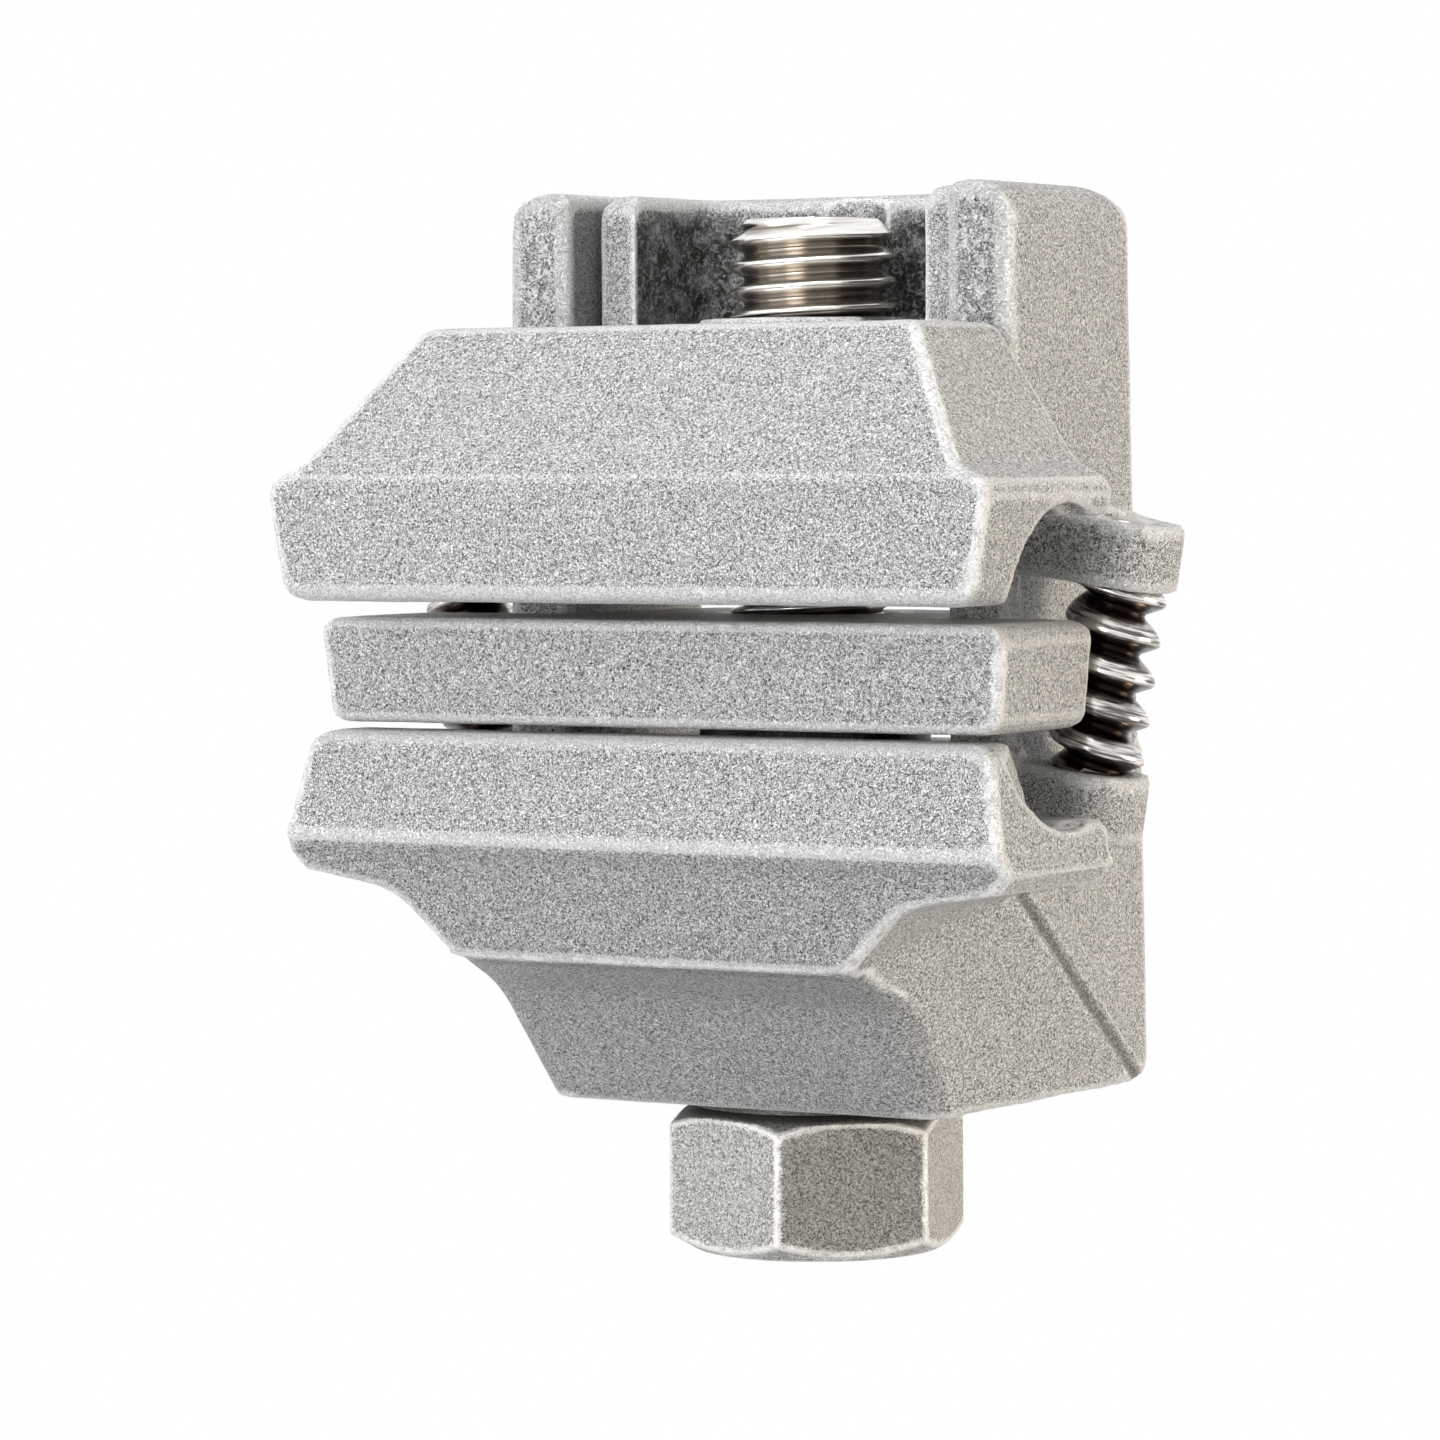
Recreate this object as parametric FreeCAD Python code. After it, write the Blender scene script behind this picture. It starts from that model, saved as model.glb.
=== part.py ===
"""Bolted tap connector: two aluminium castings squeezed together by one hex bolt.

The lower casting has a front jaw, a tapered block and two rear posts. The upper casting,
the keeper, slides between the posts on a U-shaped tail. A loose bar, the spacer, parts the
run conductor above it from the tap conductor below it.

Millimetres. The origin is on the axis of the run groove, half-way along the connector.
+X runs along both grooves, +Y points to the posts at the back, +Z points away from the bolt head.
"""
import FreeCAD, Part

import math
import os

V = FreeCAD.Vector

# Conductors that the two grooves are cut for.
run_radius = 3.75
tap_radius = 3.2
seat_past = 32.0          # degrees that each seat goes on past its deepest point
conductor_play = 0.1      # between the spacer and a conductor in its seat

# Keeper, the upper casting. Its front face stands ahead of the run groove.
keeper_top = 16.35
keeper_back = 6.4
keeper_top_front = 5.0
keeper_top_half = 19.7
slope_foot_half = 26.0
slope_foot_rise = 6.9
ledge_half = 28.4
ledge_rise = 5.7
flange_half = 28.7
flange_rise = 4.6
ridge_front = 11.65
ridge_rise = 6.0
lip_front = 11.5
lip_drop = 2.65
lip_half = 27.4

# U-shaped tail of the keeper, between the posts.
tail_play = 0.5
tail_end = 24.9
tail_wall = 3.0
arm_front = 10.5
arm_rise = 9.75           # of the arms above the keeper's top
arm_top_round = 1.8
arm_rim_round = 1.0       # of the rim's inner edge
thread_boss = 0.7         # rise of the machined ring round the bolt
thread_boss_wall = 1.3

# Spacer bar, with a tongue behind it that the bolt passes through.
spacer_height = 7.4
spacer_front = 7.15
spacer_back = 6.1
spacer_lean = 0.5         # of the front face, top ahead of bottom
spacer_top_half = 27.5
spacer_low_half = 26.8
tongue_end = 23.6
tongue_round = 4.0
tongue_hole_play = 0.6

# Lower casting: jaw.
jaw_gap = 0.5             # between the spacer and the lip at rest
jaw_top_front = 8.5
jaw_top_half = 27.2
jaw_crease_drop = 7.4     # from the lip down to the crease
jaw_crease_front = 10.0
jaw_edge_drop = 8.6       # from the lip down to the bright lower edge
jaw_edge_front = 9.1
lobe_drop = 9.9           # from the lip down to the underside of each end
lobe_half = 28.9
jaw_back = 6.0
step_drop = 15.6          # from the lip down to the step above the tapered block
step_front = 7.8
step_half = 15.9
underside_fall = 2.0      # of the jaw's underside from the step to the jaw's back

# Lower casting: tapered block and posts.
block_drop = 26.8         # from the lip down to the flat bottom
bottom_front = 4.6        # the bottom starts this far behind the grooves
cove_front = -1.8         # hollow of the front panel, below the step
cove_rise = 8.55
cove_round = 8.0
flank_front_half = 15.8
flank_rear_half = 21.1
flank_lean = 0.28         # sideways growth of the flank for each mm of height
bottom_rise = 1.2         # of the bottom at the posts' back
crease_radius = 0.4       # of the groove between each flank and its post
post_front_play = 0.5
post_top = 26.25
post_top_wall = 5.1       # of each post beside the slot, at the top
post_low_wall = 5.7       # and level with the bottom
post_top_back = 25.3
post_low_back = 26.7
post_top_round = 3.6      # of the top edge at the back
post_side_round = 3.2     # of the outer top edge
post_rim_round = 1.2      # of the top edges in front and beside the slot
slot_half = 15.4
slot_floor_gap = 1.95     # from the spacer down to the slot's floor
block_skirt = 2.0         # the block's front stays this far inside the step

# Flared mouths of the grooves.
mouth_depth = 6.5
keeper_mouth_radius = 6.45
keeper_mouth_drop = 2.35
keeper_mouth_back = 0.3
jaw_mouth_radius = 8.7
jaw_mouth_rise = 5.4
jaw_mouth_back = 1.0

# Clamp bolt, M12, with its washer, its retaining ring and its thread insert.
bolt_radius = 6.0
bolt_back = 15.5
bolt_stand = 7.8          # of the bolt's end above the keeper's top
head_flats = 19.0
head_height = 10.4
head_turn = -15.0         # degrees from +X to the first corner
head_chamfer = 30.0
head_inset = 0.75         # of each chamfer's inner edge from the flats
bolt_end_chamfer = 1.3
hole_play = 0.6
washer_radius = 9.0
washer_thick = 2.3
washer_proud = 0.5
washer_play = 0.3
ring_radius = 8.3
ring_thick = 1.2
ring_groove_depth = 0.7
ring_play = 0.05
ring_opening = 8.6
insert_wall = 0.85
insert_play = 0.05
insert_sink = 0.3         # of the insert's lower end above the keeper's underside

# Side studs, held between two lugs on the outer side of each post.
stud_radius = 3.4
stud_off = 5.2            # of the middle of its axis outside the posts' tops
stud_back = 11.0
stud_lean = 9.0           # degrees, outwards at the top
stud_end_radius = 2.0
lug_radius = 4.0
upper_lug_top = 3.0
lug_height = 4.6
lower_lug_foot = 19.0
gusset_rise = 2.2         # of the webs that carry the lugs on the posts
gusset_half = 3.2
lug_root = 3.0            # how deep the lugs' webs reach into the posts
stud_play = 0.02

# Roundings of the castings.
edge_round = 1.1
rear_round = 0.8          # of edges that only show from behind
slight_round = 0.5        # of edges left nearly sharp
corner_round = 0.7        # of the upright corners of the jaws and the bar
block_round = 3.2         # of the block's upright front corners
lip_end_round = 2.1       # of the lower corners of the keeper's ends
bar_end_round = 1.5       # of the corners of the spacer's ends
jaw_end_round = 2.2       # of the upper corners of the lower jaw's ends
soft_round = 2.0
pocket_round = 3.0        # of the pocket's corners in plan
slope_fillet = 3.0
sweep_round = 6.0
lobe_turn = 1.2           # the underside of each end starts this far in
sweep_start = 4.6         # and sweeps up from this far outside the step
sweep_sag = 1.2
skin = 0.02               # of the tools that round corners, outside the faces that they leave alone
past = 1.0                # that cutting tools and joined pieces go on past each other's faces

# Heights and places that follow from the sizes above.
spacer_top = -(run_radius + conductor_play)
spacer_low = spacer_top - spacer_height
tap_rise = spacer_low - conductor_play - tap_radius
jaw_top = spacer_low - jaw_gap
run_roof = run_radius * math.cos(math.radians(seat_past))
tap_floor = tap_rise - tap_radius * math.cos(math.radians(seat_past))
slot_floor = spacer_low - slot_floor_gap
block_low = jaw_top - block_drop
post_front = keeper_back + post_front_play
post_top_half = slot_half + post_top_wall
post_low_half = slot_half + post_low_wall
stud_out = post_top_half + stud_off
tail_half = slot_half - tail_play
boss_top = keeper_top + thread_boss
head_top = block_low - washer_proud
far = 2.0 * (post_top - block_low)


def yz(u, v):
    return V(0, u, v)


def xz(u, v):
    return V(u, 0, v)


def xy(u, v):
    return V(u, v, 0)


def rounded_face(corners, place):
    """Face through corners (u, v, radius), each rounded by an arc; a minus sign marks a hollow corner."""
    count = len(corners)
    starts, arcs = [], []
    for i, (u, v, signed) in enumerate(corners):
        radius = abs(signed)
        before = corners[i - 1]
        after = corners[(i + 1) % count]
        here = V(u, v, 0)
        back = (V(before[0], before[1], 0) - here).normalize()
        ahead = (V(after[0], after[1], 0) - here).normalize()
        half = 0.5 * back.getAngle(ahead)
        reach = radius / math.tan(half) if radius > 0 else 0.0
        first = here + back * reach
        last = here + ahead * reach
        middle = here
        if radius > 0:
            inward = (back + ahead).normalize()
            middle = here + inward * (radius / math.sin(half) - radius)
        starts.append((first, last))
        arcs.append(middle if radius > 0 else None)
    edges = []
    for i in range(count):
        first, last = starts[i]
        if arcs[i] is not None:
            a, b, c = [place(p.x, p.y) for p in (first, arcs[i], last)]
            edges.append(Part.Arc(a, b, c).toShape())
        following = starts[(i + 1) % count][0]
        if (following - last).Length > 1e-6:
            edges.append(Part.LineSegment(place(last.x, last.y), place(following.x, following.y)).toShape())
    return Part.Face(Part.Wire(edges))


def side_prism(corners, half_length):
    """Side profile (y, z, radius) drawn along X, half_length to each side."""
    face = rounded_face(corners, yz)
    face.translate(V(-half_length, 0, 0))
    return face.extrude(V(2 * half_length, 0, 0))


def front_prism(half_corners, depth):
    """Front outline (x, z, radius) of the right half, mirrored and drawn along Y."""
    left = [(-x, z, r) for x, z, r in reversed(half_corners)]
    face = rounded_face(half_corners + left, xz)
    face.translate(V(0, -depth, 0))
    return face.extrude(V(0, 2 * depth, 0))


def plan_prism(corners, low, high):
    """Plan outline (x, y, radius) drawn from height low to height high."""
    face = rounded_face(corners, xy)
    face.translate(V(0, 0, low))
    return face.extrude(V(0, 0, high - low))


def upright(radius, x, y, low, high):
    """Vertical cylinder."""
    return Part.makeCylinder(radius, high - low, V(x, y, low))


def both_sides(shape):
    """The shape and its mirror image across the middle plane."""
    return [shape, shape.mirror(V(0, 0, 0), V(1, 0, 0))]


def reach_at(outline, height):
    """First coordinate of an outline of (u, z, radius) corners at one height."""
    for (u0, z0, _), (u1, z1, _) in zip(outline, outline[1:]):
        if min(z0, z1) <= height <= max(z0, z1) and z0 != z1:
            return u0 + (u1 - u0) * (height - z0) / (z1 - z0)
    return outline[0][0] if height > outline[0][1] else outline[-1][0]


def hollow_points(outline):
    """The outline with each hollow corner (negative radius) replaced by points on its arc."""
    points = []
    for i, (u, z, radius) in enumerate(outline):
        if radius >= 0:
            points.append((u, z, 0))
            continue
        here = V(u, z, 0)
        back = (V(outline[i - 1][0], outline[i - 1][1], 0) - here).normalize()
        ahead = (V(outline[i + 1][0], outline[i + 1][1], 0) - here).normalize()
        half = 0.5 * back.getAngle(ahead)
        centre = here + (back + ahead).normalize() * (-radius / math.sin(half))
        first = here + back * (-radius / math.tan(half)) - centre
        last = here + ahead * (-radius / math.tan(half)) - centre
        for share in (0, 0.25, 0.5, 0.75, 1):
            spoke = first * (1 - share) + last * share
            point = centre + spoke.normalize() * -radius
            points.append((point.x, point.y, 0))
    return points


def corner_tool(ends, fronts, back, radius):
    """Stack of plan sections that rounds the upright corners of a casting.

    ends and fronts are the casting's outlines of (half length, z, radius) and (front, z, radius).
    The sections stand outside its faces by skin, so only their round corners cut.
    """
    ends = hollow_points(ends)
    fronts = hollow_points(fronts)
    low = max(ends[-1][1], fronts[-1][1])
    high = min(ends[0][1], fronts[0][1])
    heights = sorted({round(z, 4) for _, z, _ in ends + fronts if low <= z <= high})
    heights = [heights[0] - 2 * past] + heights + [heights[-1] + 2 * past]
    sections = []
    for z in heights:
        half = reach_at(ends, z) + skin
        front = reach_at(fronts, z) - skin
        face = rounded_face([
            (half, back, 0),
            (half, front, radius),
            (-half, front, radius),
            (-half, back, 0),
        ], xy)
        face.translate(V(0, 0, z))
        sections.append(face.OuterWire)
    return Part.makeLoft(sections, True, True)


def mouth(back, rise, inner, outer, end):
    """Flared mouth of a groove: a trumpet turned about a line along X, full width from end outwards."""
    start = end - mouth_depth
    slant = math.sin(math.radians(45))
    corners = [V(start, 0, 0), V(start, inner, 0), V(end, outer, 0), V(far, outer, 0), V(far, 0, 0)]
    middle = V(start + mouth_depth * slant, inner + (outer - inner) * (1 - slant), 0)
    edges = [Part.Arc(corners[1], middle, corners[2]).toShape()]
    for i in (0, 2, 3, 4):
        edges.append(Part.LineSegment(corners[i], corners[(i + 1) % 5]).toShape())
    outline = Part.Wire(Part.__sortEdges__(edges))
    trumpet = Part.Face(outline).revolve(V(0, 0, 0), V(1, 0, 0), 360)
    trumpet.translate(V(0, back, rise))
    return trumpet


def keeper():
    """Upper casting: hipped jaw in front, solid tail with a U-shaped wall behind."""
    heel = run_radius * math.sin(math.radians(seat_past))
    fronts = [
        (-keeper_top_front, keeper_top, edge_round),
        (-ridge_front, ridge_rise, edge_round),
        (-lip_front, -lip_drop, edge_round),
    ]
    ends = [
        (keeper_top_half, keeper_top, edge_round),
        (slope_foot_half, slope_foot_rise, -slope_fillet),
        (ledge_half, ledge_rise, edge_round),
        (flange_half, flange_rise, slight_round),
        (lip_half, -lip_drop, lip_end_round),
    ]
    side = side_prism([(keeper_back, keeper_top, rear_round)] + fronts + [
        (-run_radius, -lip_drop, rear_round),
        (-run_radius, 0, 0),
        (0, 0, 0),
        (heel, run_roof, 0),
        (keeper_back, run_roof, rear_round),
    ], far)
    jaw = side.common(front_prism(ends, far)).common(corner_tool(ends, fronts, far, corner_round))

    tail_plan = [
        (tail_half, 0, 0),
        (tail_half, tail_end, soft_round),
        (-tail_half, tail_end, soft_round),
        (-tail_half, 0, 0),
    ]
    tail = plan_prism(tail_plan, run_roof, keeper_top)
    wall_plan = [(x, max(y, arm_front), r) for x, y, r in tail_plan]
    inner = tail_half - tail_wall
    pocket_plan = [
        (inner, keeper_back, 0),
        (inner, tail_end - tail_wall, pocket_round),
        (-inner, tail_end - tail_wall, pocket_round),
        (-inner, keeper_back, 0),
    ]
    arm_top = keeper_top + arm_rise
    pocket = plan_prism(pocket_plan, keeper_top, arm_top + past)
    wall = plan_prism(wall_plan, run_roof, arm_top).cut(pocket)
    rim = [e for e in wall.Edges if inner_rim(e, arm_top)]
    wall = wall.makeFillet(arm_rim_round, rim)
    wall = wall.common(front_prism([
        (tail_half + skin, arm_top + skin, arm_top_round),
        (tail_half + skin, run_roof - past, 0),
    ], far))
    wall = wall.common(side_prism([
        (tail_end + skin, arm_top + skin, arm_top_round),
        (arm_front - skin, arm_top + skin, arm_top_round),
        (arm_front - skin, run_roof - past, 0),
        (tail_end + skin, run_roof - past, 0),
    ], far))
    boss = upright(bolt_radius + insert_wall + thread_boss_wall, 0, bolt_back, run_roof, boss_top)

    solid = jaw.fuse([tail, wall, boss]).removeSplitter()
    solid = solid.cut(Part.makeCylinder(run_radius, 2 * far, V(-far, 0, 0), V(1, 0, 0)))
    solid = solid.cut(upright(bolt_radius + insert_wall + insert_play, 0, bolt_back, -lip_drop, arm_top))
    flare = mouth(keeper_mouth_back, -keeper_mouth_drop, run_radius, keeper_mouth_radius, lip_half)
    return solid.cut(both_sides(flare))


def inner_rim(edge, height):
    """Whether an edge runs along the top of the U-shaped wall, on its inner side."""
    inside = 0.5 * tail_wall
    low = min(v.Z for v in edge.Vertexes)
    out = max(abs(v.X) for v in edge.Vertexes)
    back = max(v.Y for v in edge.Vertexes)
    return low > height - 0.01 and out < tail_half - inside and back < tail_end - inside


def spacer():
    """Bar between the two conductors, with a tongue that keeps it on the bolt."""
    fronts = [
        (-spacer_front, spacer_top, slight_round),
        (-spacer_front + spacer_lean, spacer_low, slight_round),
    ]
    ends = [
        (spacer_top_half, spacer_top, bar_end_round),
        (spacer_low_half, spacer_low, bar_end_round),
    ]
    side = side_prism([(spacer_back, spacer_top, edge_round)] + fronts + [
        (spacer_back, spacer_low, edge_round),
    ], far)
    tool = corner_tool(ends, fronts, far, corner_round)
    rear = corner_tool(ends, [(-spacer_back, z, r) for _, z, r in fronts], far, corner_round)
    rear = rear.rotate(V(0, 0, 0), V(0, 0, 1), 180)
    bar = side.common(front_prism(ends, far)).common(tool).common(rear)
    tongue = plan_prism([
        (tail_half, 0, 0),
        (tail_half, tongue_end, tongue_round),
        (-tail_half, tongue_end, tongue_round),
        (-tail_half, 0, 0),
    ], spacer_low, spacer_top)
    hole = upright(bolt_radius + tongue_hole_play, 0, bolt_back, spacer_low - past, spacer_top + past)
    return bar.fuse(tongue).removeSplitter().cut(hole)


def jaw_of_body():
    """Lower jaw: a lipped trough whose ends sweep in to the tapered block."""
    heel = tap_radius * math.sin(math.radians(seat_past))
    step = jaw_top - step_drop
    underside = jaw_top - lobe_drop
    fronts = [
        (-jaw_top_front, jaw_top, edge_round),
        (-jaw_crease_front, jaw_top - jaw_crease_drop, slight_round),
        (-jaw_edge_front, jaw_top - jaw_edge_drop, slight_round),
        (-step_front, step, slight_round),
    ]
    ends = [
        (jaw_top_half, jaw_top, jaw_end_round),
        (lobe_half, jaw_top - jaw_edge_drop, slight_round),
        (lobe_half - lobe_turn, underside, slight_round),
        (step_half + sweep_start, underside - sweep_sag, -sweep_round),
        (step_half, step, 0),
    ]
    side = side_prism([
        (jaw_back, tap_floor, rear_round),
        (heel, tap_floor, 0),
        (0, tap_rise, 0),
        (-tap_radius, tap_rise, 0),
        (-tap_radius, jaw_top, rear_round),
    ] + fronts + [(jaw_back, step - underside_fall, 0)], far)
    front = front_prism(ends + [(step_half - block_skirt, block_low, 0)], far)
    return side.common(front).common(corner_tool(ends, fronts, far, corner_round))


def block_of_body():
    """Tapered block: a hollow front panel, two slanting flanks and a flat bottom."""
    step = jaw_top - step_drop
    fronts = [
        (-step_front, step, 0),
        (cove_front, block_low + cove_rise, -cove_round),
        (bottom_front, block_low, edge_round),
    ]
    side = side_prism([
        (post_front, slot_floor, slight_round),
        (post_front, tap_floor, 0),
        (-step_front, tap_floor, 0),
    ] + fronts + [
        (post_low_back, block_low + bottom_rise, soft_round),
        (post_back_at(slot_floor), slot_floor, slight_round),
    ], far)
    whole = side.common(front_prism([
        (post_half_at(slot_floor), slot_floor, 0),
        (post_low_half, block_low, 0),
    ], far))
    sections = []
    for front, height, _ in hollow_points(fronts):
        sections.append(flank_section(height, front - skin, block_round))
    lower = Part.makeLoft(sections, True, True)
    upper = Part.makeLoft([
        flank_section(step, -2 * step_front, 0),
        flank_section(slot_floor + past, -2 * step_front, 0),
    ], True, True)
    return whole.common(lower).fuse(whole.common(upper)).removeSplitter()


def flank_half(height, back):
    """Half width between the flanks at one height and one distance behind the grooves."""
    spread = (flank_rear_half - flank_front_half) / (post_low_back - bottom_front)
    return flank_front_half + flank_lean * (height - block_low) + spread * (back - bottom_front)


def flank_section(height, front, radius):
    """Plan outline between the two flanks at one height, with its front corners rounded."""
    back = post_low_back + past
    face = rounded_face([
        (flank_half(height, back), back, 0),
        (flank_half(height, front), front, radius),
        (-flank_half(height, front), front, radius),
        (-flank_half(height, back), back, 0),
    ], xy)
    face.translate(V(0, 0, height))
    return face.OuterWire


def crease():
    """Round groove along the line where the right flank runs out into its post's side."""
    spread = flank_half(block_low, post_low_back) - flank_half(block_low, post_low_back - 1)
    ends = []
    for height in (block_low - past, jaw_top - lobe_drop):
        half = post_half_at(height)
        back = bottom_front + (half - flank_half(height, bottom_front)) / spread
        ends.append(V(half, back, height))
    along = ends[1] - ends[0]
    return Part.makeCylinder(crease_radius, along.Length, ends[0], along)


def post_half_at(height):
    """Half width over the posts at one height; the castings' draft widens it downwards."""
    share = (post_top - height) / (post_top - block_low)
    return post_top_half + (post_low_half - post_top_half) * share


def post_back_at(height):
    """How far back the posts reach at one height."""
    share = (post_top - height) / (post_top - block_low)
    return post_top_back + (post_low_back - post_top_back) * share


def right_post():
    """One post: a drafted plate with round corners all the way up."""
    low = slot_floor - past
    high = post_top + past
    sections = []
    for height in (low, high):
        out = post_half_at(height)
        back = post_back_at(height)
        face = rounded_face([
            (slot_half, post_front, rear_round),
            (out, post_front, edge_round),
            (out, back, edge_round),
            (slot_half, back, rear_round),
        ], xy)
        face.translate(V(0, 0, height))
        sections.append(face.OuterWire)
    plate = Part.makeLoft(sections, True, True)
    side = side_prism([
        (post_front - skin, post_top, post_rim_round),
        (post_top_back, post_top, post_top_round),
        (post_back_at(low), low, 0),
        (post_front - skin, low, 0),
    ], far)
    front = rounded_face([
        (slot_half - skin, post_top, post_rim_round),
        (post_top_half, post_top, post_side_round),
        (post_half_at(low), low, 0),
        (slot_half - skin, low, 0),
    ], xz)
    return plate.common(side).common(front.extrude(V(0, far, 0)))


def leaned(shape):
    """The shape, turned outwards about the middle of the side stud."""
    middle = V(stud_out, stud_back, 0.5 * (upper_lug_top - lower_lug_foot))
    return shape.rotate(middle, V(0, 1, 0), stud_lean)


def lug(low, high, gusset):
    """Round ear on the outer side of the right post, carried by a sloping web up to height gusset."""
    ear = upright(lug_radius, stud_out, stud_back, low, high)
    root = post_top_half - lug_root
    web = plan_prism([
        (root, stud_back - lug_radius, 0),
        (stud_out, stud_back - lug_radius, 0),
        (stud_out, stud_back + lug_radius, 0),
        (root, stud_back + lug_radius, 0),
    ], low, high)
    near = low if gusset < low else high
    slope = rounded_face([(root, gusset, 0), (stud_out, near, 0), (root, near, 0)], xz)
    brace = slope.extrude(V(0, 2 * gusset_half, 0))
    brace.translate(V(0, stud_back - gusset_half, 0))
    return leaned(ear.fuse([web, brace]).removeSplitter())


def body():
    """Lower casting in one piece: jaw, block, posts and lugs."""
    solid = jaw_of_body().fuse([block_of_body()] + both_sides(right_post())).removeSplitter()
    solid = solid.cut(Part.makeCylinder(tap_radius, 2 * far, V(-far, 0, tap_rise), V(1, 0, 0)))
    flare = mouth(jaw_mouth_back, tap_rise + jaw_mouth_rise, tap_radius, jaw_mouth_radius, jaw_top_half)
    solid = solid.cut(both_sides(flare) + both_sides(crease()))
    solid = solid.cut(upright(bolt_radius + hole_play, 0, bolt_back, block_low - past, slot_floor + past))
    recess_top = block_low + washer_thick - washer_proud
    solid = solid.cut(upright(washer_radius + washer_play, 0, bolt_back, block_low - past, recess_top))
    foot = -lower_lug_foot
    lugs = both_sides(lug(upper_lug_top - lug_height, upper_lug_top, upper_lug_top + gusset_rise))
    lugs += both_sides(lug(foot, foot + lug_height, foot - gusset_rise))
    solid = solid.fuse(lugs).removeSplitter()
    bore = upright(stud_end_radius + stud_play, stud_out, stud_back, foot - past, upper_lug_top + past)
    return solid.cut(both_sides(leaned(bore)))


def hexagon(flats, low, high, turn):
    """Hexagonal bar on the bolt's axis."""
    reach = flats / math.sqrt(3)
    points = []
    for i in range(7):
        angle = math.radians(turn + 60 * i)
        points.append(V(reach * math.cos(angle), bolt_back + reach * math.sin(angle), low))
    return Part.Face(Part.makePolygon(points)).extrude(V(0, 0, high - low))


def clamp_bolt():
    """Hex bolt, head below; both ends of the head are chamfered."""
    low = head_top - head_height
    head = hexagon(head_flats, low, head_top, head_turn)
    rise = 2 * head_height
    inner = 0.5 * head_flats - head_inset
    outer = inner + rise / math.tan(math.radians(head_chamfer))
    cone = Part.makeCone(inner, outer, rise, V(0, bolt_back, low))
    top_cone = Part.makeCone(outer, inner, rise, V(0, bolt_back, head_top - rise))
    head = head.common(cone).common(top_cone)
    end = keeper_top + bolt_stand
    shank = upright(bolt_radius, 0, bolt_back, head_top, end - bolt_end_chamfer)
    point = Part.makeCone(bolt_radius, bolt_radius - bolt_end_chamfer, bolt_end_chamfer,
                          V(0, bolt_back, end - bolt_end_chamfer))
    bolt = head.fuse([shank, point]).removeSplitter()
    floor = bolt_radius - ring_groove_depth
    groove = sleeve(bolt_radius + past, floor, ring_low() - ring_play, ring_low() + ring_thick + ring_play)
    return bolt.cut(groove)


def ring_low():
    """Underside of the retaining ring, just above the floor of the slot."""
    return slot_floor + 2 * ring_play


def sleeve(outer, inner, low, high):
    """Ring or tube round the bolt."""
    return upright(outer, 0, bolt_back, low, high).cut(upright(inner, 0, bolt_back, low - past, high + past))


def retaining_ring():
    """Spring-steel ring in the bolt's groove, open on one side."""
    inner = bolt_radius - ring_groove_depth + ring_play
    ring = sleeve(ring_radius, inner, ring_low(), ring_low() + ring_thick)
    opening = Part.makeBox(ring_opening, far, far, V(-0.5 * ring_opening, bolt_back, ring_low() - past))
    return ring.cut(opening)


def bolt_washer():
    """Plain washer under the head, let into the block's bottom."""
    return sleeve(washer_radius, bolt_radius + hole_play, head_top, head_top + washer_thick)


def thread_insert():
    """Steel thread insert that lines the keeper's hole."""
    low = run_roof + insert_sink
    return sleeve(bolt_radius + insert_wall, bolt_radius + insert_play, low, boss_top)


def side_stud():
    """Right-hand side stud: coarse thread between the lugs, plain ends in their bores."""
    low = -lower_lug_foot
    high = upper_lug_top
    shank = upright(stud_end_radius, stud_out, stud_back, low, high)
    inset = lug_height + stud_play
    thread = upright(stud_radius, stud_out, stud_back, low + inset, high - inset)
    return leaned(shank.fuse(thread).removeSplitter())


def main():
    os.makedirs("parts", exist_ok=True)
    right_stud, left_stud = both_sides(side_stud())
    parts = {
        "body": body(),
        "keeper": keeper(),
        "spacer": spacer(),
        "clamp_bolt": clamp_bolt(),
        "bolt_washer": bolt_washer(),
        "retaining_ring": retaining_ring(),
        "thread_insert": thread_insert(),
        "side_stud_right": right_stud,
        "side_stud_left": left_stud,
    }
    for name, shape in parts.items():
        if shape.ShapeType == "Compound" and len(shape.Solids) == 1:
            shape = shape.Solids[0]
        box = shape.BoundBox
        print(f"{name}: valid {shape.isValid()}, solids {len(shape.Solids)}, {shape.Volume:.1f} mm3")
        print(f"  y {box.YMin:.2f} to {box.YMax:.2f}, z {box.ZMin:.2f} to {box.ZMax:.2f}")
        shape.exportStep(f"parts/{name}.step")


main()
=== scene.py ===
"""Looks of the bolted tap connector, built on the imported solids."""
import math

import bmesh
import bpy
from mathutils import Matrix, Vector, kdtree, noise


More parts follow.
